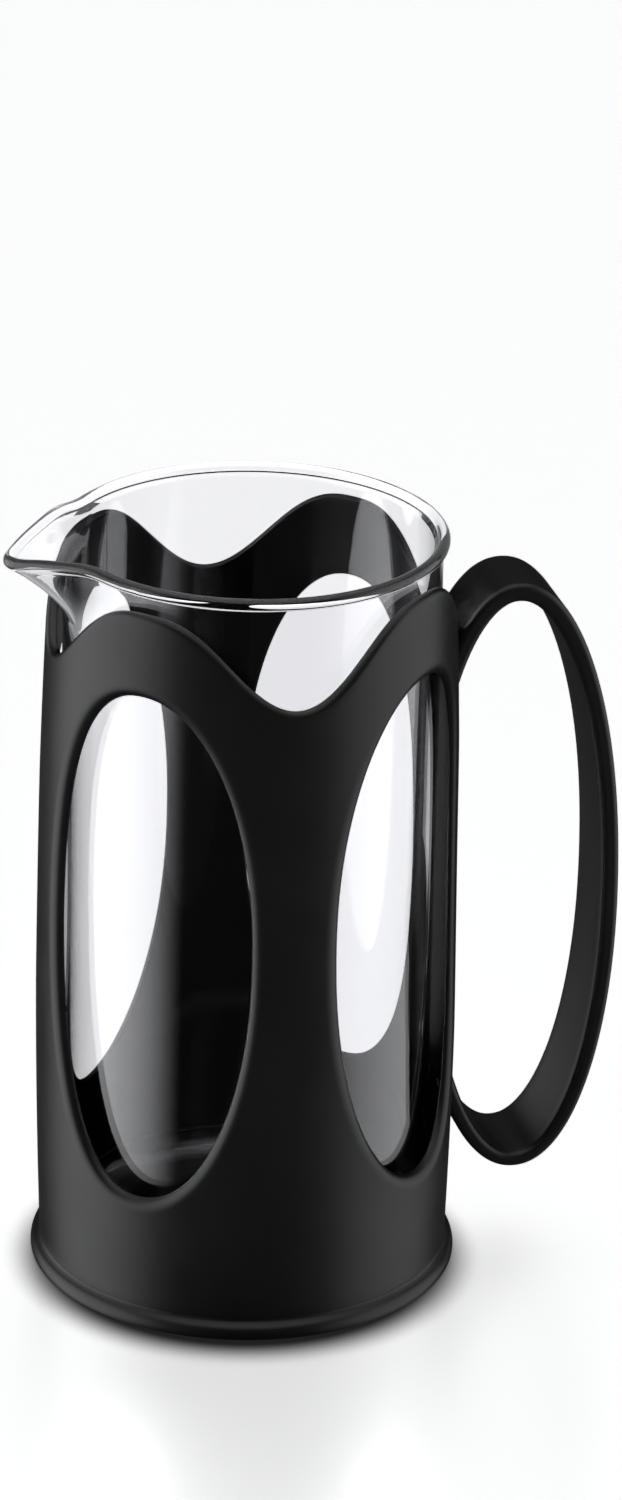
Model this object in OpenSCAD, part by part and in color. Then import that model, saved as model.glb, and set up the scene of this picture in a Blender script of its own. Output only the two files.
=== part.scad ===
// French press: a glass beaker in a windowed plastic frame with a band handle, and its plunger set,
// which stands on its filter disc beside the press with the lid slid down on the rod.
// Origin: centre of the foot, on the table. +Z is up, the handle is towards +X, the spout towards -X.

/* [Frame] */
// Diameter of the flared foot
foot_d = 110; // [108.4:0.2:114]
// Height of the foot, up to the lower edge of the sleeve
foot_h = 5; // [4.5:0.1:6]
// Outer diameter of the sleeve at its waist
sleeve_d = 107.6; // [106.6:0.2:108.2]
// Outer diameter of the sleeve at the tips of its lobes
sleeve_top_d = 101.4; // [101:0.2:104]
// Height of the widest place of the sleeve
waist_z = 75; // [50:1:100]
// Wall thickness of the sleeve at its waist
sleeve_wall = 3; // [2.4:0.1:3.2]
// Height of the lobe tips, over the windows
lobe_z = 192.3; // [188:0.1:194]
// Depth of the valleys between the lobes
wave_depth = 22; // [10:0.5:26]
// Narrowness of the valleys, 2 being an even wave
wave_power = 2.8; // [2:0.1:3.4]

/* [Windows] */
// Width of each window
window_w = 58.2; // [40:0.2:62]
// Height of each window
window_h = 135.8; // [100:0.2:140]
// Height of the window centre
window_z = 102.8; // [95:0.2:106]
// Squareness of the window outline, 2 being an ellipse
window_power = 2.2; // [2:0.05:2.6]

/* [Handle] */
// Width of the handle band at its top
band_top_w = 21.8; // [18:0.2:24]
// Width of the handle band at its bottom
band_bottom_w = 25.6; // [20:0.2:27]
// Reach of the handle from the press axis
handle_reach = 95.2; // [88:0.2:100]
// Height of the top of the handle
handle_top_z = 183; // [180:0.2:186]
// Height of the bottom of the handle
handle_bottom_z = 20.6; // [16:0.2:24]
// Thickness of the band at the grip
band_t = 4.4; // [3.6:0.1:6]
// Thickness of the band at its top
band_top_t = 4.8; // [3.4:0.1:5.4]
// Thickness of the band at its bottom
band_bottom_t = 3.8; // [3.4:0.1:5]

/* [Beaker] */
// Outer diameter of the glass
glass_d = 95; // [94:0.2:95]
// Wall thickness of the glass
glass_t = 2.3; // [2:0.1:2.5]
// Height of the glass rim above the table
rim_z = 199; // [197:0.2:202]
// Reach of the spout tip from the press axis
spout_reach = 63.5; // [58:0.5:66]

/* [Plunger] */
// Diameter of the rod
rod_d = 5; // [4:0.1:5.4]
// Diameter of the filter stack
filter_d = 89.8; // [88:0.2:90]
// Diameter of the knob
knob_d = 30; // [26:0.5:34]
// Height of the knob
knob_h = 25; // [22:0.5:30]
// Diameter of the lid
lid_d = 101; // [100:0.5:104]
// Height of the lid dome above its rim
dome_h = 15; // [12:0.5:18]

/* [Hidden] */
$fn = 96;

// Frame
glass_gap = 0.6;                       // between the glass and what stands round it
floor_t = 3;                           // floor of the base dish
upstand_h = 10;                        // top of the dish's ring inside the sleeve
foot_bulge = [2.4, 3.2];               // radial and vertical half sizes of the foot's round edge
foot_edge_z = 1.1;                     // height of its widest place
top_wall = 2.7;                        // wall of the sleeve at the lobe tips
peg_r = 2;                             // pegs of the handle, staked over inside the sleeve
peg_y = 5;                             // pegs stand this far each side of the handle's middle
peg_len = 5;
peg_zs = [42, 163];

// Handle: an upright oval loop that leans out at the bottom by loop_lean
loop_lean = 1.5;
loop_power = 2.1;                      // squareness of the oval, 2 being an ellipse
loop_h = handle_top_z - handle_bottom_z;
loop_z = (handle_top_z + handle_bottom_z) / 2;
loop_half_w = 27;
loop_x = handle_reach - loop_half_w;

// Beaker
glass_r = glass_d / 2;
bore_r = glass_r - glass_t;
glass_floor_t = 3;
corner_r = 9;                          // outer round between the glass wall and its bottom
bead_r = 1.6;                          // rolled bead of the rim
spout_half_angle = 36;
spout_drop = 17;                       // the throat starts this far below the rim

// Plunger set, heights above the table
set_pos = [182, 60, 0];                 // axis of the set, clear of the press
rod_r = rod_d / 2;
rod_clear = 0.1;                       // round the rod in the loose plates
lip_h = 3.8;                           // rim of the cross plate, which the set stands on
sheet_t = 1;                           // sheet of the cross plate
mesh_t = 0.3;
mesh_edge_h = 5.2;
spiral_t = 0.9;
spring_r = 1.2;                        // radius of the coils of the edge spring
mesh_z = lip_h;
spiral_z = mesh_z + mesh_t;
neck_top_z = 11;                       // top of the neck of the spiral plate
collar_top_z = 18;
nut_t = 2.4;
knob_z = 216;                          // underside of the knob
insert_h = 12;
filter_r = filter_d / 2;
spiral_r = filter_r - 2.9;

// Lid, heights above the face that rests on the glass rim
lid_z = collar_top_z + 6;              // that face, with the bush down on the collar
lid_r = lid_d / 2;
lid_edge_h = 4;
dome_t = 2.2;
skirt_r = bore_r - glass_gap;
skirt_t = 1.6;
skirt_drop = 14;
seat_r = 46.8;                         // recess that holds the strainer's flange
boss_r = 11;                           // boss round the bush hole of the dome
boss_span = [14.6, 19.2];
bush_r = 8;                            // running face of the bush
sleeve_bush_r = 4.6;                   // long lower part of the bush, on the rod
bush_bottom = collar_top_z - lid_z;
bush_step = 11;                        // top of that lower part
bush_flange_r = 10.4;
bush_flange_t = 3;
run_clear = 0.05;                      // running fit, on the radius
end_play = 0.1;
groove_r = 7;
clip_z = [13.3, 14.5];

// Share of the sleeve's bow that is used up at height z: 0 at the waist, 1 at the lobe tips
function bow(z) = pow((z - waist_z) / (lobe_z - waist_z), 2);
function sleeve_r(z) = (sleeve_d - (sleeve_d - sleeve_top_d) * bow(z)) / 2;
function wall_at(z) = sleeve_wall - (sleeve_wall - top_wall) * bow(z);
function arc(c, r, a0, a1, step = 15) = [for (a = [a0:step:a1]) c + r * [cos(a), sin(a)]];
function sgn_pow(v, p) = sign(v) * pow(abs(v), p);
function loop_point(a, half_w, half_h, z) =
    let (c = sgn_pow(cos(a), 2 / loop_power), s = sgn_pow(sin(a), 2 / loop_power))
    [loop_x + half_w * c - loop_lean * s, z + half_h * s];

// Upright extrusion along +X of an outline drawn in the Y-Z plane
module along_x(length) {
    rotate([90, 0, 90]) linear_extrude(length) children();
}

module window_outline() {
    polygon([for (a = [0:9:351])
        [window_w / 2 * sgn_pow(cos(a), 2 / window_power),
         window_z + window_h / 2 * sgn_pow(sin(a), 2 / window_power)]]);
}

// What is cut away above one valley, from lobe to lobe
module valley_outline() {
    top = lobe_z + 1;
    r = sleeve_top_d / 2;
    wave = [for (a = [-45:5:45]) [r * sin(a), lobe_z - wave_depth * pow(cos(2 * a), wave_power)]];
    polygon(concat([[-r * sin(45), top]], wave, [[r * sin(45), top]]));
}

module sleeve_body(z0, z1, hollow) {
    heights = [for (i = [0:10]) z0 + (z1 - z0) * i / 10];
    outer = [for (z = heights) [sleeve_r(z), z]];
    inner = [for (i = [10:-1:0]) [sleeve_r(heights[i]) - wall_at(heights[i]), heights[i]]];
    rotate_extrude() polygon(hollow ? concat(outer, inner) : concat(outer, [[0, z1], [0, z0]]));
}

module pegs() {
    for (z = peg_zs, y = [-peg_y, peg_y])
        translate([sqrt(pow(sleeve_r(z) - wall_at(z), 2) - y * y), y, z])
            rotate([0, 90, 0]) cylinder(r = peg_r, h = peg_len);
}

module frame_shell() {
    color("#2a2b2d") difference() {
        sleeve_body(foot_h, lobe_z, true);
        for (a = [45:90:315]) rotate(a) along_x(foot_d) window_outline();
        for (a = [0:90:270]) rotate(a) along_x(foot_d) valley_outline();
        pegs();
    }
}

function edge_point(edge_r, a) =
    [edge_r + foot_bulge[0] * cos(a), foot_edge_z + foot_bulge[1] * sin(a)];

module base_dish() {
    edge_r = foot_d / 2 - foot_bulge[0];
    edge = [for (a = [-18:10.5:66]) edge_point(edge_r, a)];
    upstand_r = sleeve_r(foot_h) - wall_at(foot_h);
    upstand_bore = glass_r + glass_gap;
    color("#2a2b2d") rotate_extrude() polygon(concat(
        [[0, 0], [edge[0][0], 0]], edge,
        [[sleeve_r(foot_h), foot_h], [upstand_r, foot_h], [upstand_r, upstand_h],
         [upstand_bore, upstand_h],
         [upstand_bore, floor_t], [0, floor_t]]));
}

// Side outline of the handle's band
module loop_outline() {
    inner_half_h = (loop_h - band_top_t - band_bottom_t) / 2;
    inner_z = loop_z + (band_bottom_t - band_top_t) / 2;
    difference() {
        polygon([for (a = [0:5:355]) loop_point(a, loop_half_w, loop_h / 2, loop_z)]);
        polygon([for (a = [0:5:355]) loop_point(a, loop_half_w - band_t, inner_half_h, inner_z)]);
    }
}

module handle() {
    top = band_top_w / 2;
    bottom = band_bottom_w / 2;
    color("#2a2b2d") {
        difference() {
            intersection() {
                translate([0, bottom, 0]) rotate([90, 0, 0])
                    linear_extrude(band_bottom_w) loop_outline();
                along_x(handle_reach + 1) polygon([
                    [-bottom, handle_bottom_z], [bottom, handle_bottom_z],
                    [top, handle_top_z], [-top, handle_top_z]]);
            }
            sleeve_body(0, rim_z, false);
        }
        intersection() {
            pegs();
            sleeve_body(0, rim_z, false);
        }
    }
}

module beaker() {
    bottom = floor_t + glass_floor_t;
    inner_corner = corner_r - glass_t;
    bead_z = rim_z - bead_r;
    wall_bottom = floor_t + corner_r;
    cavity = concat(
        [[0, bottom]],
        arc([bore_r - inner_corner, bottom + inner_corner], inner_corner, -90, 0),
        [[bore_r, bead_z - 2 * bead_r], [glass_r - bead_r, bead_z], [glass_r - bead_r, rim_z + 9],
         [0, rim_z + 9]]);
    color("#dfe7ea", 0.4) difference() {
        union() {
            rotate_extrude() polygon(concat(
                [[0, floor_t]],
                arc([glass_r - corner_r, wall_bottom], corner_r, -90, 0),
                [[glass_r, bead_z - bead_r]],
                arc([glass_r, bead_z], bead_r, -60, 180, 30),
                [[0, bead_z]]));
            spout_hull(spout_reach - bead_r, bead_r, glass_r, spout_half_angle, bead_z, -1.4, 0);
        }
        rotate_extrude() polygon(cavity);
        spout_hull(spout_reach - 4, 0.6, bore_r - 1.5, spout_half_angle - 4, rim_z - 1, 0, 4);
    }
}

// Three-cornered spout: a ball at the tip, one at each root on the rim and one at the throat.
// With raise above 0 the upper balls are repeated higher up, which opens the top of the cavity.
module spout_hull(reach, r, root_r, half_angle, z, tip_dz, raise) {
    hull() {
        for (dz = [0, raise]) {
            translate([-reach, 0, z + tip_dz + dz]) sphere(r, $fn = 24);
            for (a = [-half_angle, half_angle])
                rotate(180 + a) translate([root_r, 0, z + dz]) sphere(r, $fn = 24);
        }
        translate([-root_r + 1, 0, z - spout_drop + (raise > 0 ? 3 : 0)]) sphere(r, $fn = 24);
    }
}

module tube(r, bore, z0, z1) {
    translate([0, 0, z0]) difference() {
        cylinder(r = r, h = z1 - z0);
        translate([0, 0, -1]) cylinder(r = bore, h = z1 - z0 + 2);
    }
}

module knob() {
    k = knob_d / 2;
    foot_r = 7;
    crown = knob_h - k;
    color("#242527") translate(set_pos + [0, 0, knob_z]) difference() {
        rotate_extrude() polygon(concat(
            [[0, 0], [foot_r, 0], [foot_r + 1, 2]],
            arc([0, crown], k, -45, 75), [[0, knob_h]]));
        translate([0, 0, -1]) cylinder(r = rod_r + 1.5, h = insert_h + 1);
    }
}

module knob_insert() {
    color("#b9a36a") translate(set_pos) tube(rod_r + 1.5, rod_r, knob_z, knob_z + insert_h);
}

module plunger_rod() {
    color("#c8cacc") translate(set_pos + [0, 0, lip_h - sheet_t - nut_t])
        cylinder(r = rod_r, h = knob_z + insert_h - (lip_h - sheet_t - nut_t));
}

module rod_collar() {
    color("#c8cacc") translate(set_pos) tube(rod_r + 2, rod_r, neck_top_z, collar_top_z);
}

module hole_ring(count, ring_r, hole_r, h) {
    for (i = [0:count - 1])
        rotate(i * 360 / count) translate([ring_r, 0, -1]) cylinder(r = hole_r, h = h + 2, $fn = 24);
}

module spiral_plate() {
    color("#c8cacc") translate(set_pos) {
        difference() {
            tube(spiral_r, rod_r + rod_clear, spiral_z, spiral_z + spiral_t);
            translate([0, 0, spiral_z]) {
                hole_ring(24, spiral_r * 0.82, 2.2, spiral_t);
                hole_ring(16, spiral_r * 0.6, 2.2, spiral_t);
                hole_ring(10, spiral_r * 0.38, 2.2, spiral_t);
            }
        }
        tube(rod_r + 2, rod_r + rod_clear, spiral_z + spiral_t, neck_top_z);
    }
}

module edge_spring() {
    color("#b4b7ba") translate(set_pos + [0, 0, spiral_z + spring_r])
        rotate_extrude() translate([spiral_r + run_clear + spring_r, 0]) circle(spring_r, $fn = 24);
}

module mesh_screen() {
    color("#a9acaf") translate(set_pos) {
        tube(filter_r, rod_r + rod_clear, mesh_z, mesh_z + mesh_t);
        tube(filter_r, filter_r - mesh_t, mesh_z + mesh_t, mesh_z + mesh_edge_h);
    }
}

module cross_plate() {
    lip_r = filter_r - 1.4;
    hub_zone = 12;
    arm_half = 5;
    ring_in = lip_r - 7;
    color("#c8cacc") translate(set_pos) {
        difference() {
            tube(lip_r, rod_r + rod_clear, lip_h - sheet_t, lip_h);
            for (a = [0:90:270]) rotate(a) intersection() {
                tube(ring_in, hub_zone, 0, lip_h + 1);
                translate([arm_half, arm_half, 0]) cube([ring_in, ring_in, lip_h + 1]);
            }
        }
        tube(lip_r, lip_r - sheet_t, 0, lip_h - sheet_t);
    }
}

module hub_nut() {
    color("#c8cacc") translate(set_pos + [0, 0, lip_h - sheet_t - nut_t]) difference() {
        cylinder(r = 4.6, h = nut_t, $fn = 6);
        translate([0, 0, -1]) cylinder(r = rod_r, h = nut_t + 2);
    }
}

module on_lid() {
    translate(set_pos + [0, 0, lid_z]) children();
}

module lid_bush() {
    flange_z = boss_span[1] + end_play;
    color("#303134") on_lid() difference() {
        union() {
            tube(sleeve_bush_r, rod_r + run_clear, bush_bottom, bush_step + 1);
            tube(bush_r, rod_r + run_clear, bush_step, flange_z);
            tube(bush_flange_r, rod_r + run_clear, flange_z, flange_z + bush_flange_t);
        }
        tube(bush_r + 1, groove_r, clip_z[0], clip_z[1]);
    }
}

module bush_clip() {
    mouth = 6;
    color("#b4b7ba") on_lid() difference() {
        tube(bush_r + 2, groove_r, clip_z[0], clip_z[1]);
        translate([0, -mouth / 2, clip_z[0] - 1]) cube([bush_r + 3, mouth, 4]);
    }
}

module lid_dome() {
    hole_r = bush_r + run_clear;
    radii = [for (i = [0:10]) hole_r + (lid_r - hole_r) * (1 - i / 10)];
    inner_radii = [for (i = [0:8]) hole_r + (seat_r - 4 - hole_r) * i / 8];
    inner_top = lid_edge_h - dome_t;
    color("#2a2b2d") on_lid() {
        rotate_extrude() polygon(concat(
            [[seat_r, 0], [lid_r, 0]],
            [for (r = radii) [r, lid_edge_h + dome_h * (1 - pow(r / lid_r, 2))]],
            [for (r = inner_radii) [r, inner_top + dome_h * (1 - pow(r / lid_r, 2))]],
            [[seat_r, inner_top]]));
        tube(boss_r, hole_r, boss_span[0], boss_span[1]);
    }
}

module lid_strainer() {
    slot_w = 3;
    color("#303134") on_lid() {
        difference() {
            tube(skirt_r, skirt_r - skirt_t, -skirt_drop, 0);
            for (a = [150:7.5:210])
                rotate(a) translate([skirt_r - 3, -slot_w / 2, -skirt_drop + 3]) cube([6, slot_w, 8]);
        }
        tube(seat_r, skirt_r - skirt_t, 0, lid_edge_h - dome_t);
    }
}

frame_shell();
base_dish();
handle();
beaker();
knob();
knob_insert();
plunger_rod();
rod_collar();
spiral_plate();
edge_spring();
mesh_screen();
cross_plate();
hub_nut();
lid_bush();
bush_clip();
lid_dome();
lid_strainer();
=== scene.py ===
# French press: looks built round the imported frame. Lengths in mm inside the builders, metres outside.
import math

import bmesh
import bpy
import numpy as np
from mathutils import Matrix, Vector


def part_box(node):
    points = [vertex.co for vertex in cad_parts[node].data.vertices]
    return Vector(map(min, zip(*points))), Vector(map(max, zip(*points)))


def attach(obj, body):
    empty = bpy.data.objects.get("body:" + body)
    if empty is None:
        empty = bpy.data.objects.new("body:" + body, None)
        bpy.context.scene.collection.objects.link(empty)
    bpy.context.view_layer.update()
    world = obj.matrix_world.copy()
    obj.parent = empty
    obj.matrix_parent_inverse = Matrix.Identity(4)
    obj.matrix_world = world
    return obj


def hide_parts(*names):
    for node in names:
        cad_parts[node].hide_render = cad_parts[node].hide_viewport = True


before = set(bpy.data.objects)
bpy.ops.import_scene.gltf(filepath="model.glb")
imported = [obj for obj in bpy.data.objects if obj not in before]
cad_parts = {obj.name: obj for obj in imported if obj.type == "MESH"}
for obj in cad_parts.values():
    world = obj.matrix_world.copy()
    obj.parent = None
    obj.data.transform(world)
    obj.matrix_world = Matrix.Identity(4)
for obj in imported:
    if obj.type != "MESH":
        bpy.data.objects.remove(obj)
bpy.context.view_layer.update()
MM = 0.001
TAU = 2 * math.pi


def mid(node):
    lo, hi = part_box(node)
    return (lo + hi) / 2 / MM


# ---------------------------------------------------------------- sizes, in mm
# Taken from the CAD source, some of them rounded less. The lips, the spout's curve and the soft edges
# are this script's own. The foot's round edge ends 0.3 mm lower than in the CAD, which leaves room for
# the run-out into the sleeve.
FOOT_H, FOOT_R, BULGE, BULGE_Z = 5.0, 55.0, (2.4, 2.9), 1.1
DISH_TOP, DISH_PLAY = 10.0, 0.6                # wall round the glass, and its clearance to the glass
WAIST_Z, LOBE_Z, WAVE, WAVE_POWER = 75.0, 192.3, 22.0, 2.84
SLEEVE_R, SLEEVE_DROP, WALL, WALL_DROP = 53.8, 3.1, 3.0, 0.3
WIN_HALF_W, WIN_HALF_H, WIN_Z, WIN_POWER = 29.13, 67.9, 102.8, 2.18
WIN_LIP, WAVE_LIP = 3.0, 1.6
# The handle's oval: its middle, half sizes, lean and superellipse power
LOOP_X, LOOP_Z, LOOP_A, LOOP_B, LOOP_LEAN, LOOP_POWER = 68.16, 101.86, 27.03, 81.21, 1.5, 2.11
BAND_TOP_HALF, BAND_LOW_HALF = 10.9, 12.8      # half widths of the band
BAND_T, BAND_TOP_T, BAND_LOW_T, BAND_SOFT = 4.4, 4.8, 3.8, 1.5
PEG_ZS, PEG_Y = (42.0, 163.0), 5.0
GLASS_R, GLASS_T, GLASS_BASE_T, GLASS_Z, RIM_Z = 47.5, 2.3, 3.0, 3.0, 199.0
BEAD_R, CORNER_R, SPOUT_TIP, SPOUT_Z0 = 1.6, 9.0, 61.8, 178.3
SPOUT_SLOPE, SPOUT_SOFT = 0.829, 0.06          # how the spout's sides run in, and how round its tip is
KNOB_R, KNOB_H, INSERT_R, INSERT_H = 15.0, 25.0, 3.98, 12.0
ROD_R, ROD_RUN, ROD_Z0, ROD_TOP = 2.5, 2.55, 0.4, 228.0
SKIRT_H, LID_R, LID_RISE, LID_EDGE, LID_SHEET = 14.0, 50.5, 15.0, 4.0, 2.2
SET_X, SET_Y = mid("plunger_rod")[0], mid("plunger_rod")[1]
LID_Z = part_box("lid_strainer")[0].z / MM + SKIRT_H
KNOB_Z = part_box("knob")[1].z / MM - KNOB_H


def bow(z):
    """Share of the sleeve's taper reached at height z."""
    return ((z - WAIST_Z) / (LOBE_Z - WAIST_Z)) ** 2


def sleeve_r(z):
    return SLEEVE_R - SLEEVE_DROP * bow(z)


def wall_at(z):
    return WALL - WALL_DROP * bow(z)


def spow(v, p):
    """Power that keeps the sign, for superellipses."""
    return math.copysign(abs(v) ** p, v)


def ease(t):
    """Smooth step from 0 to 1."""
    t = min(1.0, max(0.0, t))
    return t * t * (3 - 2 * t)


# ---------------------------------------------------------------- mesh helpers
def new_object(name, verts, faces, sharp=40.0, merge=True):
    """Mesh object from points in mm; close points are merged, normals point outwards."""
    mesh = bpy.data.meshes.new(name)
    mesh.from_pydata([tuple(c * MM for c in v) for v in verts], [], faces)
    bm = bmesh.new()
    bm.from_mesh(mesh)
    if merge:
        bmesh.ops.remove_doubles(bm, verts=bm.verts, dist=2e-6)
        bmesh.ops.dissolve_degenerate(bm, edges=bm.edges, dist=1e-7)
    bmesh.ops.recalc_face_normals(bm, faces=bm.faces)
    bm.to_mesh(mesh)
    bm.free()
    mesh.shade_smooth()
    mesh.set_sharp_from_angle(angle=math.radians(sharp))
    obj = bpy.data.objects.new(name, mesh)
    bpy.context.scene.collection.objects.link(obj)
    return obj


def grid_faces(rows, cols, base=0, wrap_cols=False, wrap_rows=False):
    """Quads between neighbouring rows of vertices that start at index base."""
    faces = []
    for i in range(rows if wrap_rows else rows - 1):
        for j in range(cols if wrap_cols else cols - 1):
            a, b = base + i * cols + j, base + i * cols + (j + 1) % cols
            k = ((i + 1) % rows) * cols
            faces.append((a, b, base + k + (j + 1) % cols, base + k + j))
    return faces


def rounded(points, closed=True):
    """Polyline with its corners rounded: points are (r, z) or (r, z, radius)."""
    out, n = [], len(points)
    for i, p in enumerate(points):
        rad = p[2] if len(p) > 2 else 0.0
        if rad <= 0 or (not closed and i in (0, n - 1)):
            out.append((p[0], p[1]))
            continue
        c = np.array(p[:2], float)
        a = np.array(points[i - 1][:2], float) - c
        b = np.array(points[(i + 1) % n][:2], float) - c
        la, lb = np.linalg.norm(a), np.linalg.norm(b)
        a, b = a / la, b / lb
        half = math.acos(max(-1.0, min(1.0, float(a @ b)))) / 2
        cut = min(rad / math.tan(half), la * 0.49, lb * 0.49)
        steps = 6
        for k in range(steps + 1):
            t = k / steps
            q = (1 - t) ** 2 * (c + a * cut) + 2 * t * (1 - t) * c + t * t * (c + b * cut)
            out.append((float(q[0]), float(q[1])))
    return out


def lathe(name, outline, at=(0.0, 0.0, 0.0), n=128, sharp=50.0, closed=True):
    """An outline of (r, z) turned round the vertical line through at."""
    verts, rows = [], len(outline)
    for r, z in outline:
        for j in range(n):
            a = TAU * j / n
            verts.append((at[0] + r * math.cos(a), at[1] + r * math.sin(a), at[2] + z))
    return new_object(name, verts, grid_faces(rows, n, wrap_cols=True, wrap_rows=closed), sharp)


def arc(cx, cz, r, a0, a1, n):
    return [(cx + r * math.cos(math.radians(a0 + (a1 - a0) * i / n)),
             cz + r * math.sin(math.radians(a0 + (a1 - a0) * i / n))) for i in range(n + 1)]


def from_cad(name, node, bevel):
    """A copy of a CAD node with its flat faces made whole and its edges softened."""
    obj = bpy.data.objects.new(name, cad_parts[node].data.copy())
    bpy.context.scene.collection.objects.link(obj)
    obj.data.materials.clear()
    bm = bmesh.new()
    bm.from_mesh(obj.data)
    bmesh.ops.remove_doubles(bm, verts=bm.verts, dist=1e-6)
    bmesh.ops.dissolve_limit(bm, angle_limit=math.radians(0.6), verts=bm.verts, edges=bm.edges)
    bm.to_mesh(obj.data)
    bm.free()
    obj.data.shade_smooth()
    obj.data.set_sharp_from_angle(angle=math.radians(35))
    mod = obj.modifiers.new("soft_edges", "BEVEL")
    mod.width, mod.segments, mod.limit_method = bevel * MM, 2, "ANGLE"
    mod.angle_limit = math.radians(40)
    mod.harden_normals = True
    return obj


def put(obj, body, slot, look, *nodes):
    """Gives a piece its material and its body, and hides the CAD nodes that it stands for; slot is not used.
    """
    obj.data.materials.clear()
    obj.data.materials.append(look)
    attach(obj, body)
    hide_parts(*nodes)
    return obj


# ---------------------------------------------------------------- materials
def material(name):
    mat = bpy.data.materials.new(name)
    mat.use_nodes = True
    nodes, links = mat.node_tree.nodes, mat.node_tree.links
    return mat, nodes, links, nodes["Principled BSDF"]


def noise(nodes, links, scale, detail=2.0, stretch=None):
    """Noise in object space; scale is per metre."""
    coord = nodes.new("ShaderNodeTexCoord")
    tex = nodes.new("ShaderNodeTexNoise")
    tex.inputs["Scale"].default_value = scale
    tex.inputs["Detail"].default_value = detail
    source = coord.outputs["Object"]
    if stretch:
        mapping = nodes.new("ShaderNodeMapping")
        mapping.inputs["Scale"].default_value = stretch
        links.new(source, mapping.inputs["Vector"])
        source = mapping.outputs["Vector"]
    links.new(source, tex.inputs["Vector"])
    return tex.outputs["Fac"]


def span(nodes, links, fac, low, high):
    """Stretches a noise's usual range to low and high."""
    node = nodes.new("ShaderNodeMapRange")
    node.inputs["From Min"].default_value, node.inputs["From Max"].default_value = 0.25, 0.75
    node.inputs["To Min"].default_value, node.inputs["To Max"].default_value = low, high
    links.new(fac, node.inputs["Value"])
    return node.outputs["Result"]


def tint(nodes, links, fac, dark, light):
    """Blends two colours by a noise."""
    ramp = nodes.new("ShaderNodeValToRGB")
    ramp.color_ramp.elements[0].position, ramp.color_ramp.elements[1].position = 0.3, 0.7
    ramp.color_ramp.elements[0].color = (*dark, 1)
    ramp.color_ramp.elements[1].color = (*light, 1)
    links.new(fac, ramp.inputs["Fac"])
    return ramp.outputs["Color"]


def bump(nodes, links, shader, height, strength, distance):
    node = nodes.new("ShaderNodeBump")
    node.inputs["Strength"].default_value = strength
    node.inputs["Distance"].default_value = distance
    links.new(height, node.inputs["Height"])
    links.new(node.outputs["Normal"], shader.inputs["Normal"])


def plastic(name, dark, light, rough, grain, grain_depth=2e-5, strength=0.25):
    mat, nodes, links, shader = material(name)
    broad = noise(nodes, links, 28.0, 3.0)
    fine = noise(nodes, links, grain, 3.0)
    links.new(tint(nodes, links, broad, dark, light), shader.inputs["Base Color"])
    links.new(span(nodes, links, noise(nodes, links, 90.0, 4.0), *rough), shader.inputs["Roughness"])
    bump(nodes, links, shader, fine, strength, grain_depth)
    shader.inputs["IOR"].default_value = 1.5
    return mat


def metal(name, dark, light, rough, stretch, depth=4e-6, scale=900.0, strength=0.3):
    mat, nodes, links, shader = material(name)
    streaks = noise(nodes, links, scale, 3.0, stretch)
    cloud = noise(nodes, links, 60.0, 3.0)
    links.new(tint(nodes, links, cloud, dark, light), shader.inputs["Base Color"])
    links.new(span(nodes, links, streaks, *rough), shader.inputs["Roughness"])
    shader.inputs["Metallic"].default_value = 1.0
    bump(nodes, links, shader, streaks, strength, depth)
    return mat


def woven(name):
    """Fine square weave: crossing wires, with painted shade, a near-black colour, in the gaps between them.
    """
    mat, nodes, links, shader = material(name)
    coord = nodes.new("ShaderNodeTexCoord")
    waves = []
    for direction in ("X", "Y"):
        wave = nodes.new("ShaderNodeTexWave")
        wave.bands_direction = direction
        wave.inputs["Scale"].default_value = 420.0
        wave.inputs["Distortion"].default_value = 0.0
        links.new(coord.outputs["Object"], wave.inputs["Vector"])
        waves.append(wave.outputs["Fac"])
    top = nodes.new("ShaderNodeMath")
    top.operation = "MAXIMUM"
    links.new(waves[0], top.inputs[0])
    links.new(waves[1], top.inputs[1])
    # The gaps between the wires get a near-black colour: painted shade standing for the holes
    links.new(tint(nodes, links, top.outputs[0], (0.05, 0.05, 0.052), (0.56, 0.57, 0.58)),
              shader.inputs["Base Color"])
    links.new(span(nodes, links, noise(nodes, links, 300.0), 0.28, 0.42), shader.inputs["Roughness"])
    shader.inputs["Metallic"].default_value = 1.0
    bump(nodes, links, shader, top.outputs[0], 0.5, 8e-5)
    return mat


def clear_glass(name):
    mat, nodes, links, shader = material(name)
    shader.inputs["Transmission Weight"].default_value = 1.0
    shader.inputs["IOR"].default_value = 1.47
    cloud = noise(nodes, links, 22.0, 2.0)
    links.new(tint(nodes, links, cloud, (0.950, 0.949, 0.964), (0.960, 0.959, 0.972)),
              shader.inputs["Base Color"])
    shader.inputs["Roughness"].default_value = 0.0
    bump(nodes, links, shader, noise(nodes, links, 30.0, 1.0), 0.12, 2e-4)
    return mat


BLACK = plastic("satin_black", (0.0016, 0.0017, 0.0020), (0.0030, 0.0032, 0.0036),
                (0.30, 0.36), 2600.0)
KNOB_BLACK = plastic("knob_black", (0.0040, 0.0041, 0.0045), (0.0065, 0.0067, 0.0072),
                     (0.16, 0.22), 1800.0, 8e-6)
STRAINER_BLACK = plastic("strainer_black", (0.0070, 0.0072, 0.0078), (0.0105, 0.0108, 0.0115),
                         (0.42, 0.50), 2400.0)
NYLON = plastic("nylon_black", (0.0100, 0.0102, 0.0108), (0.0150, 0.0153, 0.0160),
                (0.44, 0.54), 2000.0)
ROD_STEEL = metal("rod_steel", (0.58, 0.59, 0.60), (0.68, 0.69, 0.70), (0.10, 0.18),
                  (0.05, 0.05, 1.0))
SHEET_STEEL = metal("sheet_steel", (0.52, 0.53, 0.54), (0.62, 0.63, 0.64), (0.24, 0.36),
                    (1.0, 0.06, 1.0))
SPRING_STEEL = metal("spring_steel", (0.50, 0.51, 0.52), (0.60, 0.61, 0.62), (0.16, 0.26),
                     (1.0, 1.0, 0.2))
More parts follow.
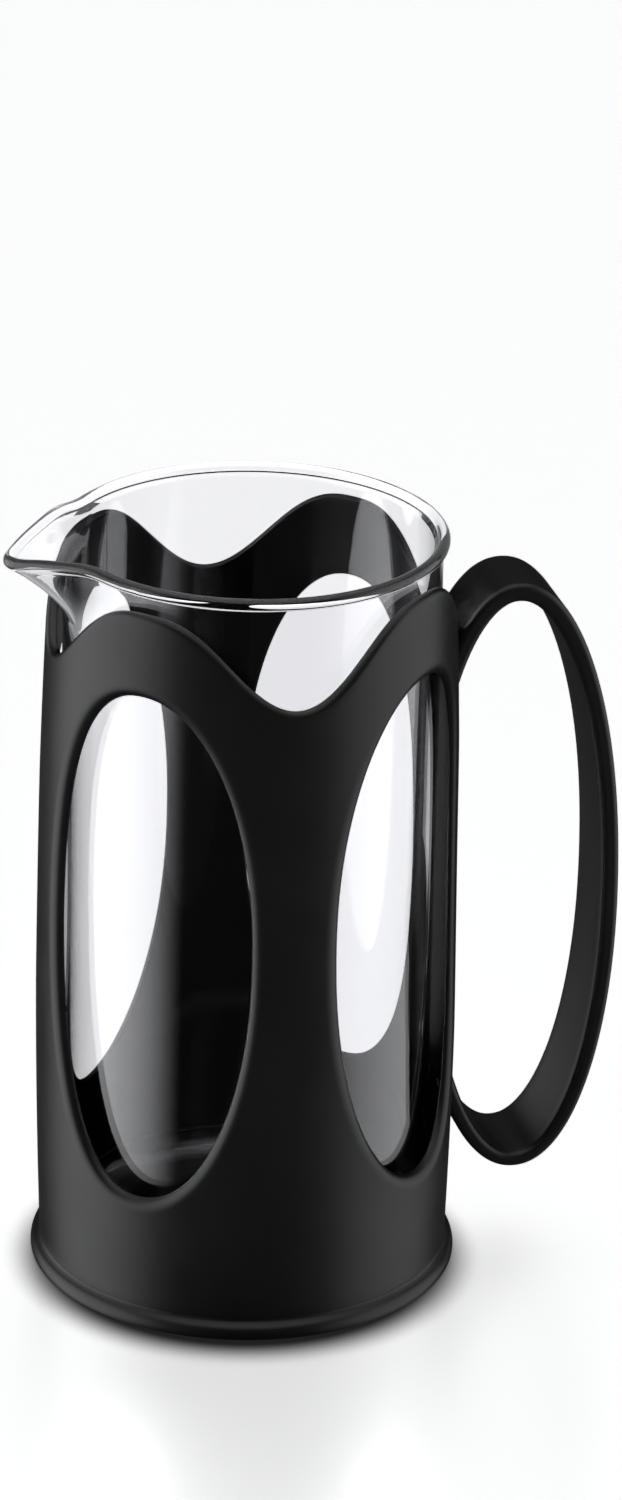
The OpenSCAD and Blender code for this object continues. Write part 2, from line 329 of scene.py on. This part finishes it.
BRASS = metal("turned_brass", (0.50, 0.37, 0.16), (0.62, 0.47, 0.22), (0.20, 0.32),
              (0.05, 0.05, 1.0))
MESH_STEEL = woven("woven_steel")
GLASS = clear_glass("borosilicate")


# ---------------------------------------------------------------- camera
# Fitted to the outlines of the foot, sleeve, rim and handle
CAMERA_AT, CAMERA_LENS = (-0.34033, -1.45776, 0.77847), 154.8
CAMERA_AHEAD, CAMERA_RIGHT = (0.21831, 0.89342, -0.39262), (0.97316, -0.22932, 0.01928)
CAMERA_TURN = -0.5                             # last correction, round the press axis, in degrees


def make_camera():
    data = bpy.data.cameras.new("camera")
    data.sensor_fit = "VERTICAL"
    data.sensor_width = data.sensor_height = 36.0
    data.lens = CAMERA_LENS
    data.clip_start, data.clip_end = 0.05, 30.0
    cam = bpy.data.objects.new("camera", data)
    bpy.context.scene.collection.objects.link(cam)
    ahead, right = Vector(CAMERA_AHEAD).normalized(), Vector(CAMERA_RIGHT).normalized()
    aim = Matrix((right, right.cross(ahead), -ahead)).transposed().to_4x4()
    turn = Matrix.Rotation(math.radians(CAMERA_TURN), 4, "Z")
    cam.matrix_world = turn @ Matrix.Translation(Vector(CAMERA_AT)) @ aim
    bpy.context.scene.camera = cam


make_camera()


# ---------------------------------------------------------------- sleeve
QUARTER = math.pi / 4                          # half of a sector, round the sleeve
OUTLINE_POINTS, FAN_ROWS, BORDER_CORNER = 192, 12, 9
WINDOW_LAND = 0.5                              # flat strip left in the window's edge
OUTER_LIP = (0.0, 0.12, 0.35, 0.7, 1.15, 1.7, 2.3, WIN_LIP, WIN_LIP + 0.5)
INNER_LIP = (0.0, 0.25, 0.7, 1.3)
BORDER_SHARES = (1.0, 0.66, 0.4, 0.2, 0.08, 0.0)
# Rounding of the sector's border: (width, depth) on the outer face (True) and on the inner one (False);
# at the wave the depth is a share of the wall
WAVE_ROUND = {True: (WAVE_LIP, 0.55), False: (0.8, 0.45)}
FOOT_ROUND = {True: (0.05, 0.02), False: (0.3, 0.2)}


def window_edge(a):
    """Point (along the sleeve, height) on the window's outline at angle a."""
    p = 2 / WIN_POWER
    return WIN_HALF_W * spow(math.cos(a), p), WIN_Z + WIN_HALF_H * spow(math.sin(a), p)


def wave_z(phi):
    """Height of the sleeve's wavy upper edge."""
    return LOBE_Z - WAVE * abs(math.cos(2 * phi)) ** WAVE_POWER


def offset_ring(points, d):
    """A closed outline in the (t, z) plane moved outwards by d."""
    out, n = [], len(points)
    for i in range(n):
        (x0, z0), (x1, z1) = points[i - 1], points[(i + 1) % n]
        tx, tz = x1 - x0, z1 - z0
        length = math.hypot(tx, tz)
        out.append((points[i][0] + d * tz / length, points[i][1] - d * tx / length))
    return out


def lip_depth(u, width, full):
    """How far a quarter-round lip has fallen, u from its edge."""
    k = 1 - min(1.0, max(0.0, u / width))
    return full * (1 - math.sqrt(max(0.0, 1 - k * k)))


def even_outline(count):
    """Points evenly spaced along the window's outline, the first on its +t side."""
    samples = 4000
    dense = [window_edge(TAU * i / samples) for i in range(samples + 1)]
    steps = [math.dist(a, b) for a, b in zip(dense, dense[1:])]
    run = np.concatenate([[0], np.cumsum(steps)])
    at = np.interp(run[-1] * np.arange(count) / count, run, np.linspace(0, TAU, samples + 1))
    return [window_edge(a) for a in at]


def sector_border(count):
    """Where the rays from the window's outline end: (phi from the window's middle, z, kind)."""
    # Points from a side's middle to the corner, and to the middle of the top
    corner, quart = count // BORDER_CORNER, count // 4
    border = []
    for i in range(count):
        k = i if i <= count // 2 else i - count
        sign = 1 if abs(k) <= quart else -1
        m = abs(k) if sign > 0 else count // 2 - abs(k)
        if m <= corner:
            z_end = wave_z(0) if k >= 0 else FOOT_H
            kind = "side" if m < corner else "top corner" if k >= 0 else "low corner"
            border.append((sign * QUARTER, WIN_Z + (z_end - WIN_Z) * m / corner, kind))
        else:
            phi = sign * QUARTER * (1 - (m - corner) / (quart - corner))
            border.append((phi, wave_z(phi + QUARTER), "top") if k >= 0 else (phi, FOOT_H, "low"))
    return border


def border_rows(border, outside):
    """Rows of (phi, z, depth) that run to the border, rounded over at the wave and at the foot."""
    rows = []
    for share in BORDER_SHARES:
        row = []
        for phi, z, kind in border:
            full = wall_at(z)
            if kind == "side":
                row.append((phi, z, 0.0 if outside else full))
                continue
            if "top" in kind:
                rise = (wave_z(phi + QUARTER + 0.001) - wave_z(phi + QUARTER - 0.001)) / 0.002 / sleeve_r(z)
                norm = math.hypot(1, rise)
                along = (rise / norm / sleeve_r(z), -1 / norm)
                width, drop = WAVE_ROUND[outside][0], full * WAVE_ROUND[outside][1]
            else:
                along = (0.0, 1.0)
                width, drop = FOOT_ROUND[outside]
            u = width * share
            fall = lip_depth(u, width, drop)
            row.append((phi + along[0] * u, z + along[1] * u, fall if outside else full - fall))
        rows.append(row)
    return rows


def sector_rows(edge, border, outside):
    """Rows of (phi, z, depth) from the window's edge out to the sector's border, on one face."""
    rows, lip = [], OUTER_LIP if outside else INNER_LIP
    for u in lip:
        row = []
        for t, z in offset_ring(edge, u):
            full = wall_at(z)
            depth = (lip_depth(u, WIN_LIP, full - WINDOW_LAND) if outside
                     else full - lip_depth(u, INNER_LIP[-1], WINDOW_LAND))
            row.append((math.asin(t / sleeve_r(z)), z, depth))
        rows.append(row)
    ends = border_rows(border, outside)
    for k in range(1, FAN_ROWS):
        row = []
        for (phi0, z0, _), (phi1, z1, _) in zip(rows[len(lip) - 1], ends[0]):
            t = k / FAN_ROWS
            z = z0 + (z1 - z0) * t
            row.append((phi0 + (phi1 - phi0) * t, z, 0.0 if outside else wall_at(z)))
        rows.append(row)
    return rows + ends


def build_sleeve():
    """Four sectors, each a grid from its window's edge out to the sector's border, on both faces."""
    n = OUTLINE_POINTS
    edge, border = even_outline(n), sector_border(n)
    verts, faces = [], []
    for s in range(4):
        last = []
        for outside in (True, False):
            rows = sector_rows(edge, border, outside)
            first = len(verts)
            for row in rows:
                for phi, z, depth in row:
                    r, a = sleeve_r(z) - depth, QUARTER + s * math.pi / 2 + phi
                    verts.append((r * math.cos(a), r * math.sin(a), z))
            faces += grid_faces(len(rows), n, first, wrap_cols=True)
            last.append(first + (len(rows) - 1) * n)
        # The wall's edge along the foot and the wave
        for i in range(n):
            j = (i + 1) % n
            kinds = (border[i][2], border[j][2])
            if "side" not in kinds and not all("corner" in k for k in kinds):
                faces.append((last[0] + i, last[0] + j, last[1] + j, last[1] + i))
    return new_object("sleeve", verts, faces, sharp=75.0)


put(build_sleeve(), "press_frame", "frame_plastic", BLACK, "frame_shell")


# ---------------------------------------------------------------- foot
def build_foot():
    """Flared foot: a hollow run-out from the sleeve, a round edge and a thin rim on the table."""
    top_r, centre = sleeve_r(FOOT_H), (FOOT_R - BULGE[0], BULGE_Z)
    bulge = [(centre[0] + BULGE[0] * math.cos(a), centre[1] + BULGE[1] * math.sin(a))
             for a in (math.radians(-16 + 4 * k) for k in range(20))]
    run_out = [(top_r + 0.42, FOOT_H - 0.8), (top_r + 0.14, FOOT_H - 0.4), (top_r + 0.02, FOOT_H - 0.03)]
    rim = [(bulge[0][0] - 0.4, 0.0), (bulge[0][0] - 0.35, bulge[0][1])]
    underside = [(0.0, 0.25), (40.0, 0.25), (41.5, 0.0)]
    ring_r, dish_r = top_r - wall_at(FOOT_H), GLASS_R + DISH_PLAY
    dish = rounded([(ring_r, FOOT_H - 0.03), (ring_r, DISH_TOP, 0.6), (dish_r, DISH_TOP, 0.6),
                    (dish_r, GLASS_Z, 0.5), (0.0, GLASS_Z)], False)
    outline = underside + rim + bulge + run_out + dish
    return lathe("foot_dish", outline, n=192, closed=False, sharp=60)


put(build_foot(), "press_frame", "frame_plastic", BLACK, "base_dish")


# ---------------------------------------------------------------- handle
BAND_ROWS = 220                                # cross-sections along the band
BAND_SINK = 0.8                                # how deep its ends go into the sleeve
# Staked end of a peg: (radius, distance outwards from the sleeve's inner face)
STAKE, STAKE_SIDES = ((2.4, 0.4), (2.3, -0.25), (1.7, -0.45), (0.8, -0.52), (0.0, -0.54)), 20


def loop_point(a):
    """Outer line of the band at angle a."""
    c, s = spow(math.cos(a), 2 / LOOP_POWER), spow(math.sin(a), 2 / LOOP_POWER)
    return Vector((LOOP_X + LOOP_A * c - LOOP_LEAN * s, 0, LOOP_Z + LOOP_B * s))


def band_section():
    """Points (side, depth side, inset from side, inset in depth) round the band's section."""
    corners, steps, flat = [], 6, 8
    for side, deep, start in ((1, 0, 90), (1, 1, 0), (-1, 1, -90), (-1, 0, 180)):
        for k in range(steps + 1):
            a = math.radians(start - 90 * k / steps)
            inset, depth = BAND_SOFT * (1 - abs(math.cos(a))), BAND_SOFT * (1 - abs(math.sin(a)))
            corners.append((side, deep, inset, depth))
    section = []
    for i, here in enumerate(corners):
        section.append((here, here, 0.0))
        if i % (steps + 1) == steps:
            section += [(here, corners[(i + 1) % len(corners)], k / flat) for k in range(1, flat)]
    return section


def band_point(point, a):
    """One point of the section, carried to angle a of the loop."""
    c, s = math.cos(a), math.sin(a)
    at, run = loop_point(a), loop_point(a + 0.01) - loop_point(a - 0.01)
    normal = Vector((run.z, 0, -run.x)).normalized()
    thick = BAND_T * c * c + (BAND_TOP_T if s > 0 else BAND_LOW_T) * s * s
    share = (1 + spow(s, 2 / LOOP_POWER)) / 2
    half = BAND_LOW_HALF + (BAND_TOP_HALF - BAND_LOW_HALF) * share
    here, there, mix = point
    ends = []
    for side, deep, inset, depth in (here, there):
        ends.append(at - normal * (thick - depth if deep else depth) + Vector((0, side * (half - inset), 0)))
    return ends[0].lerp(ends[1], mix)


def meet_sleeve(point, direction):
    """Angle at which a line along the band, followed from the grip, sinks into the sleeve."""
    def outside(a):
        p = band_point(point, a)
        return math.hypot(p.x, p.y) > sleeve_r(p.z) - BAND_SINK
    a, step = 0.0, 0.02 * direction
    while outside(a):
        a += step
    near, far = a - step, a
    for _ in range(30):
        half = (near + far) / 2
        near, far = (half, far) if outside(half) else (near, half)
    return near


def build_handle():
    """The band is swept round the oval; every line along it ends where it meets the sleeve."""
    section, m = band_section(), BAND_ROWS
    lines = []
    for point in section:
        top, low = meet_sleeve(point, 1), meet_sleeve(point, -1)
        lines.append([tuple(band_point(point, low + (top - low) * j / (m - 1))) for j in range(m)])
    count = len(section)
    verts = [lines[i][j] for j in range(m) for i in range(count)]
    faces = grid_faces(m, count, wrap_cols=True)
    faces += [tuple(range(count)), tuple((m - 1) * count + i for i in range(count))]
    # Staked ends of the pegs, low domes inside the pillar
    for z in PEG_ZS:
        for y in (-PEG_Y, PEG_Y):
            x = math.sqrt((sleeve_r(z) - wall_at(z)) ** 2 - y * y)
            first = len(verts)
            for r, dx in STAKE:
                for k in range(STAKE_SIDES):
                    a = TAU * k / STAKE_SIDES
                    verts.append((x + dx, y + r * math.cos(a), z + r * math.sin(a)))
            faces += grid_faces(len(STAKE), STAKE_SIDES, first, wrap_cols=True)
    return new_object("handle_band", verts, faces, sharp=50.0)


put(build_handle(), "press_frame", "frame_plastic", BLACK, "handle")


# ---------------------------------------------------------------- beaker
GLASS_COLS, WALL_ROWS, SPOUT_ROWS = 384, 14, 30
WALL_Z0 = 12.0                                 # where the straight wall starts
BASE_RINGS = (0.0, 10.0, 22.0, 32.0)
PUNT_OUT, PUNT_IN = 0.5, 0.9                   # rise of the bottom's middle, outside and inside
FLARE_FULL, FLARE_POWER = 0.93, 1.6            # share of the spout's height with full reach, and curve to it
FLARE_LATE, FLARE_PULL = 0.85, 0.9             # from that share up the wall is drawn under the bead
SPOUT_NARROW, NARROW_RATE = 0.5, 1.15          # the spout's width at its root, and how soon it widens
LIP_DIP, LIP_DIP_WIDTH = 2.5, 8.0              # mm, degrees
SHOULDER_RISE, SHOULDER_AT, SHOULDER_WIDTH = 1.3, 23.5, 8.5


def spout_reach(d):
    """How far the bead's centre line stands outside the round rim, d radians from the spout."""
    root, d = math.atan(SPOUT_SLOPE), abs(d)
    if d >= root:
        return 0.0
    side = math.sqrt(math.sin(d) ** 2 + SPOUT_SOFT ** 2) - SPOUT_SOFT * (1 - d / root)
    return max(0.0, SPOUT_TIP / (math.cos(d) + SPOUT_SLOPE * side) - GLASS_R)


def rim_lift(d):
    """The rim dips at the spout and rises at its shoulders."""
    deg = abs(math.degrees(d))
    shoulder = SHOULDER_RISE * math.exp(-((deg - SHOULDER_AT) / SHOULDER_WIDTH) ** 2)
    return shoulder - LIP_DIP * math.exp(-(deg / LIP_DIP_WIDTH) ** 2)


def wall_point(phi, s):
    """Middle of the wall at angle phi; s runs from 0 where the spout starts to 1 at the rim."""
    d = phi - math.pi
    z = SPOUT_Z0 + (RIM_Z - BEAD_R + rim_lift(d) - SPOUT_Z0) * s
    grow = min(1.0, s / FLARE_FULL) ** FLARE_POWER
    if s >= FLARE_LATE:
        grow += ease((s - FLARE_LATE) / (1 - FLARE_LATE)) * (1 - grow) * FLARE_PULL
    narrow = SPOUT_NARROW + (1 - SPOUT_NARROW) * ease(s * NARROW_RATE)
    r = GLASS_R - GLASS_T / 2 + grow * spout_reach(d / narrow)
    return r * math.cos(phi), r * math.sin(phi), z


def wall_surface():
    """Rows of points up the middle of the wall, straight at first and then out into the spout."""
    angles = [TAU * j / GLASS_COLS for j in range(GLASS_COLS)]
    straight = []
    for i in range(WALL_ROWS):
        z = WALL_Z0 + (SPOUT_Z0 - WALL_Z0) * i / WALL_ROWS
        straight.append([wall_point(phi, 0.0)[:2] + (z,) for phi in angles])
    flared = [[wall_point(phi, i / SPOUT_ROWS) for phi in angles] for i in range(SPOUT_ROWS + 1)]
    return np.array(straight + flared)


def glass_ring(r, z):
    angles = [TAU * j / GLASS_COLS for j in range(GLASS_COLS)]
    return np.array([(r * math.cos(a), r * math.sin(a), z) for a in angles])


def beaker_bottom(z, corner_r, rise):
    """Rings from the middle of the bottom out and round the corner."""
    flat_r = GLASS_R - CORNER_R
    rings = [glass_ring(r, z + rise * (1 - (r / flat_r) ** 2)) for r in BASE_RINGS]
    return rings + [glass_ring(*p) for p in arc(flat_r, z + corner_r, corner_r, -90, 0, 12)[:-1]]


def build_beaker():
    """Inner and outer faces stand off a middle surface, so that the wall keeps its thickness."""
    surf, half = wall_surface(), GLASS_T / 2
    around = np.roll(surf, -1, 1) - np.roll(surf, 1, 1)
    along = np.gradient(surf, axis=0)
    normal = np.cross(around, along)
    normal /= np.linalg.norm(normal, axis=2, keepdims=True)
    up = along / np.linalg.norm(along, axis=2, keepdims=True)
    outer, inner = surf + normal * half, surf - normal * half
    profile = beaker_bottom(GLASS_Z, CORNER_R, PUNT_OUT) + list(outer[:-2])
    # Rolled bead, on the wall's outer side at the rim
    centre, steps = surf[-1] + normal[-1] * half, 16
    for k in range(steps + 1):
        a = math.radians(-58 + 246 * k / steps)
        profile.append(centre + normal[-1] * (BEAD_R * math.cos(a)) + up[-1] * (BEAD_R * math.sin(a)))
    profile += list(inner[-3::-1])
    profile += reversed(beaker_bottom(GLASS_Z + GLASS_BASE_T, CORNER_R - GLASS_T, PUNT_IN))
    verts = [tuple(p) for ring in profile for p in ring]
    faces = grid_faces(len(profile), GLASS_COLS, wrap_cols=True)
    return new_object("glass_beaker", verts, faces, sharp=80.0)


put(build_beaker(), "glass", "clear_glass", GLASS, "beaker")


# ---------------------------------------------------------------- plunger set
AT = (SET_X, SET_Y, 0.0)
ON_LID = (SET_X, SET_Y, LID_Z)
COLLAR_R, COLLAR_Z0, COLLAR_TOP = 4.5, 11.0, 18.0
SCREEN_R, SCREEN_T, SCREEN_BORE, SCREEN_Z0, SCREEN_TOP = 44.9, 0.3, 2.6, 3.8, 9.0
BUSH_R, BUSH_TUBE_R, BUSH_FLANGE_R, BUSH_GROOVE_R = 8.0, 4.6, 10.4, 7.0
BUSH_Z0, BUSH_STEP_Z, BUSH_FLANGE_Z, BUSH_TOP = -6.0, 11.0, 19.3, 22.3
GROOVE_Z0, GROOVE_TOP = 13.3, 14.5
BOSS_R, BOSS_Z0, BOSS_TOP, BOSS_HOLE, SKIRT_R = 11.0, 14.6, 19.2, 8.05, 46.8


def ring_piece(name, r, bore, z0, z1, soft=0.35):
    pts = [(bore, z0, soft), (r, z0, soft), (r, z1, soft), (bore, z1, soft)]
    return lathe(name, rounded(pts), AT, 96)


def build_knob():
    foot = [(0.0, 0.6), (4.0, 0.6), (4.0, 0.0), (6.4, 0.0), (7.0, 0.4), (7.5, 1.3), (8.2, 1.6), (9.6, 0.1)]
    ball = arc(0.0, KNOB_H - KNOB_R, KNOB_R, -44, 90, 40)
    return lathe("knob_ball", foot + ball, (SET_X, SET_Y, KNOB_Z), closed=False)


def build_rod():
    outline = [(0.0, ROD_Z0), (ROD_R, ROD_Z0, 0.5), (ROD_R, ROD_TOP, 0.5), (0.0, ROD_TOP)]
    return lathe("rod", rounded(outline, False), AT, 64, closed=False)


def build_screen():
    """Flat screen with its edge turned up."""
    inner_r, floor_z = SCREEN_R - SCREEN_T, SCREEN_Z0 + SCREEN_T
    outline = [(SCREEN_BORE, SCREEN_Z0), (SCREEN_R, SCREEN_Z0, 0.8), (SCREEN_R, SCREEN_TOP, 0.1),
               (inner_r, SCREEN_TOP, 0.1), (inner_r, floor_z, 0.5), (SCREEN_BORE, floor_z)]
    return lathe("screen", rounded(outline), AT, 160)


def build_spring():
    """Close-wound coil laid round the edge of the spiral plate."""
    ring_r, coil_r, wire_r, z = 43.25, 0.9, 0.29, 5.3
    turns, steps, sides = 200, 14, 6
    total = turns * steps
    pts = []
    for i in range(total):
        a, b = TAU * i / total, TAU * i / steps
        r = ring_r + coil_r * math.cos(b)
        pts.append(Vector((SET_X + r * math.cos(a), SET_Y + r * math.sin(a), z + coil_r * math.sin(b))))
    verts = []
    for i in range(total):
        ahead = (pts[(i + 1) % total] - pts[i - 1]).normalized()
        a = TAU * i / total
        out = Vector((math.cos(a), math.sin(a), 0))
        side = ahead.cross(out).normalized()
        out = side.cross(ahead)
        for k in range(sides):
            c = TAU * k / sides
            verts.append(tuple(pts[i] + (out * math.cos(c) + side * math.sin(c)) * wire_r))
    return new_object("coil_spring", verts, grid_faces(total, sides, wrap_cols=True, wrap_rows=True),
                      merge=False)


def build_bush():
    """Guide bush: a long tube on the rod, a running face with the clip's groove, and a flange."""
    outline = [(ROD_RUN, BUSH_Z0, 0.4), (BUSH_TUBE_R, BUSH_Z0, 0.5), (BUSH_TUBE_R, BUSH_STEP_Z, 0.3),
               (BUSH_R, BUSH_STEP_Z, 0.5), (BUSH_R, GROOVE_Z0), (BUSH_GROOVE_R, GROOVE_Z0),
               (BUSH_GROOVE_R, GROOVE_TOP), (BUSH_R, GROOVE_TOP), (BUSH_R, BUSH_FLANGE_Z),
               (BUSH_FLANGE_R, BUSH_FLANGE_Z, 0.3), (BUSH_FLANGE_R, BUSH_TOP, 0.9), (ROD_RUN, BUSH_TOP, 0.4)]
    return lathe("bush", rounded(outline), ON_LID, 96)


def build_dome():
    """Domed sheet with a rounded edge and a boss for the bush."""
    fillet_r = BOSS_R + 0.4

    def top(r):
        return LID_EDGE + LID_RISE * (1 - (r / LID_R) ** 2)
    low = [(SKIRT_R, 0.0), (LID_R - 0.8, 0.0), (LID_R - 0.25, 0.25), (LID_R, 0.8), (LID_R, 2.6),
           (LID_R - 0.15, 3.4), (LID_R - 0.55, LID_EDGE)]
    crown = [(r, top(r)) for r in np.linspace(LID_R - 1.2, fillet_r, 40)]
    boss = [(BOSS_R, top(fillet_r) + 0.25), (BOSS_R - 0.1, BOSS_TOP - 0.15), (BOSS_R - 0.3, BOSS_TOP),
            (BOSS_HOLE, BOSS_TOP), (BOSS_HOLE, BOSS_Z0), (BOSS_R, BOSS_Z0)]
    under = [(r, top(r) - LID_SHEET) for r in np.linspace(BOSS_R, SKIRT_R - 4, 30)]
    outline = low + crown + boss + under + [(SKIRT_R - 1.0, 1.8), (SKIRT_R, 1.6)]
    return lathe("dome", [(float(r), float(z)) for r, z in outline], ON_LID, 160, sharp=55)


def add_plunger():
    put(build_knob(), "plunger", "knob_plastic", KNOB_BLACK, "knob")
    insert = ring_piece("knob_insert_ring", INSERT_R, ROD_R, KNOB_Z, KNOB_Z + INSERT_H)
    put(insert, "plunger", "insert_brass", BRASS, "knob_insert")
    put(build_rod(), "plunger", "rod_steel", ROD_STEEL, "plunger_rod")
    collar = ring_piece("collar", COLLAR_R, ROD_R, COLLAR_Z0, COLLAR_TOP)
    put(collar, "plunger", "rod_steel", ROD_STEEL, "rod_collar")
    put(from_cad("hole_plate", "spiral_plate", 0.15), "plunger", "sheet_steel", SHEET_STEEL, "spiral_plate")
    put(from_cad("arm_plate", "cross_plate", 0.15), "plunger", "sheet_steel", SHEET_STEEL, "cross_plate")
    put(from_cad("nut", "hub_nut", 0.25), "plunger", "rod_steel", ROD_STEEL, "hub_nut")
    put(build_screen(), "plunger", "mesh_steel", MESH_STEEL, "mesh_screen")
    put(build_spring(), "plunger", "spring_steel", SPRING_STEEL, "edge_spring")


def add_lid():
    put(build_bush(), "lid_guide", "bush_nylon", NYLON, "lid_bush")
    put(from_cad("clip", "bush_clip", 0.2), "lid_guide", "spring_steel", SPRING_STEEL, "bush_clip")
    put(build_dome(), "lid", "lid_plastic", BLACK, "lid_dome")
    strainer = from_cad("strainer", "lid_strainer", 0.3)
    put(strainer, "lid", "strainer_plastic", STRAINER_BLACK, "lid_strainer")


add_plunger()
add_lid()


# ---------------------------------------------------------------- floor and light
FLOOR_HALF, FLOOR_GLOW, FLOOR_MIRROR, FLOOR_ROUGH = 6000.0, 0.68, 2.8, 0.30
# Contact shadow of the foot, painted into the table's glow and mirror colour: its centre, and where it
# starts and ends to fade, in metres
PAINTED_SHADOW_AT, PAINTED_SHADOW_R = (-0.0014, -0.0062, 0.0), (0.050, 0.063)
PAINTED_SHADOW_DARK = (0.02, 0.02, 0.021, 1)
ROOM_TURN = 13.7                               # turns the room's x axis to the camera's right
SIDE_BOX, LEFT_GAIN = (0.58, 0.98), 0.75       # soft boxes at the sides, the left one stronger
FAR_FADE, FAR_CUT = (0.62, 0.82), 0.85         # the boxes fade towards the far wall
TOP_BOX, TOP_LIGHT = (0.55, 0.95), 0.8
BACK_LIGHT, ROOM_LIGHT = 0.04, 0.015
KEEN_BOOST, KEEN_REAR = 0.8, 0.5               # the room looks brighter in the glass than in satin parts
PLAIN_LIGHT, OVERHEAD, OVERHEAD_CUT = 1.02, (0.2, 0.5), 0.9


def build_floor():
    """Light table: glows evenly, mirrors softly, and has a painted shadow where the foot stands on it."""
    corners = [(x * FLOOR_HALF, y * FLOOR_HALF, 0) for x, y in ((-1, -1), (1, -1), (1, 1), (-1, 1))]
    obj = new_object("floor", corners, [(0, 1, 2, 3)], merge=False)
    mat, nodes, links, shader = material("light_table")
    nodes.remove(shader)
    coord = nodes.new("ShaderNodeTexCoord")
    away = nodes.new("ShaderNodeVectorMath")
    away.operation = "DISTANCE"
    away.inputs[1].default_value = PAINTED_SHADOW_AT
    links.new(coord.outputs["Object"], away.inputs[0])
    fade = nodes.new("ShaderNodeMapRange")
    fade.interpolation_type = "SMOOTHSTEP"
    fade.inputs["From Min"].default_value, fade.inputs["From Max"].default_value = PAINTED_SHADOW_R
    links.new(away.outputs["Value"], fade.inputs["Value"])
    # Painted contact shadow: dark near the foot and white beyond, tinting both the glow and the mirror
    ramp = nodes.new("ShaderNodeValToRGB")
    ramp.color_ramp.elements[0].color = PAINTED_SHADOW_DARK
    ramp.color_ramp.elements[1].color = (1.0, 1.0, 1.0, 1)
    links.new(fade.outputs["Result"], ramp.inputs["Fac"])
    glow = nodes.new("ShaderNodeEmission")
    glow.inputs["Strength"].default_value = FLOOR_GLOW
    links.new(ramp.outputs["Color"], glow.inputs["Color"])
    mirror = nodes.new("ShaderNodeBsdfGlossy")
    mirror.inputs["Roughness"].default_value = FLOOR_ROUGH
    bright = nodes.new("ShaderNodeVectorMath")
    bright.operation = "SCALE"
    bright.inputs["Scale"].default_value = FLOOR_MIRROR
    links.new(ramp.outputs["Color"], bright.inputs[0])
    links.new(bright.outputs["Vector"], mirror.inputs["Color"])
    table = nodes.new("ShaderNodeAddShader")
    links.new(glow.outputs[0], table.inputs[0])
    links.new(mirror.outputs[0], table.inputs[1])
    # Reflections in the press don't show the table
    path = nodes.new("ShaderNodeLightPath")
    clear = nodes.new("ShaderNodeBsdfTransparent")
    after = nodes.new("ShaderNodeMath")
    after.operation = "GREATER_THAN"
    after.inputs[1].default_value = 0.5
    mix = nodes.new("ShaderNodeMixShader")
    links.new(path.outputs["Glossy Depth"], after.inputs[0])
    links.new(after.outputs[0], mix.inputs[0])
    links.new(table.outputs[0], mix.inputs[1])
    links.new(clear.outputs[0], mix.inputs[2])
    links.new(mix.outputs[0], nodes["Material Output"].inputs["Surface"])
    obj.data.materials.append(mat)


def build_world():
    """Even white light, and for reflections a dark room with a soft box on each side and one above."""
    world = bpy.data.worlds.new("studio")
    bpy.context.scene.world = world
    world.use_nodes = True
    world.cycles.sampling_method = "NONE"
    nodes, links = world.node_tree.nodes, world.node_tree.links
    out, plain = nodes["World Output"], nodes["Background"]

    def value(op, a, b=None, c=None):
        node = nodes.new("ShaderNodeMath")
        node.operation = op
        for i, v in enumerate((a, b, c)):
            if v is None:
                continue
            if isinstance(v, (int, float)):
                node.inputs[i].default_value = v
            else:
                links.new(v, node.inputs[i])
        return node.outputs[0]

    def smooth(v, lo, hi):
        node = nodes.new("ShaderNodeMapRange")
        node.interpolation_type = "SMOOTHSTEP"
        links.new(v, node.inputs["Value"])
        node.inputs["From Min"].default_value, node.inputs["From Max"].default_value = lo, hi
        return node.outputs["Result"]

    coord = nodes.new("ShaderNodeTexCoord")
    split = nodes.new("ShaderNodeSeparateXYZ")
    turned = nodes.new("ShaderNodeMapping")
    turned.inputs["Rotation"].default_value = (0, 0, math.radians(ROOM_TURN))
    links.new(coord.outputs["Generated"], turned.inputs["Vector"])
    links.new(turned.outputs["Vector"], split.inputs[0])
    x, y, z = split.outputs
    side = value("ABSOLUTE", x)
    left = value("LESS_THAN", x, 0.0)
    bands = smooth(side, *SIDE_BOX)
    bands = value("MULTIPLY", bands, value("MULTIPLY_ADD", left, LEFT_GAIN, 1.0))
    bands = value("MULTIPLY", bands, value("MULTIPLY_ADD", smooth(y, *FAR_FADE), -FAR_CUT, 1.0))
    above = value("MULTIPLY", smooth(z, *TOP_BOX), TOP_LIGHT)
    back = value("MULTIPLY", smooth(y, -0.1, 0.5), smooth(z, 0.0, 0.25))
    light = value("ADD", value("ADD", bands, above), value("MULTIPLY", back, BACK_LIGHT))
    # Keen rays are mirror-sharp ones that have crossed few faces of the glass
    path = nodes.new("ShaderNodeLightPath")
    keen = value("MULTIPLY", path.outputs["Is Singular Ray"],
                 value("LESS_THAN", path.outputs["Transmission Depth"], 2.5))
    light = value("MULTIPLY", value("ADD", light, ROOM_LIGHT), value("MULTIPLY_ADD", keen, KEEN_BOOST, 1.0))
    rear = value("MULTIPLY", smooth(y, 0.25, 0.75), KEEN_REAR)
    light = value("MULTIPLY_ADD", rear, keen, light)
    room = nodes.new("ShaderNodeBackground")
    links.new(light, room.inputs["Strength"])
    room.inputs["Color"].default_value = (0.97, 0.98, 1.0, 1)
    plain.inputs["Color"].default_value = (1, 1, 1, 1)
    # Seen through the glass, the room overhead is dark, which draws the thin lines round the rim
    through = value("GREATER_THAN", path.outputs["Transmission Depth"], 0.5)
    overhead = value("MULTIPLY", smooth(z, *OVERHEAD), through)
    links.new(value("MULTIPLY_ADD", overhead, -OVERHEAD_CUT, PLAIN_LIGHT), plain.inputs["Strength"])
    after = value("GREATER_THAN", path.outputs["Glossy Depth"], 0.5)
    mix = nodes.new("ShaderNodeMixShader")
    links.new(after, mix.inputs[0])
    links.new(plain.outputs[0], mix.inputs[1])
    links.new(room.outputs[0], mix.inputs[2])
    links.new(mix.outputs[0], out.inputs["Surface"])
    bpy.context.scene.view_settings.view_transform = "Standard"


build_floor()
build_world()
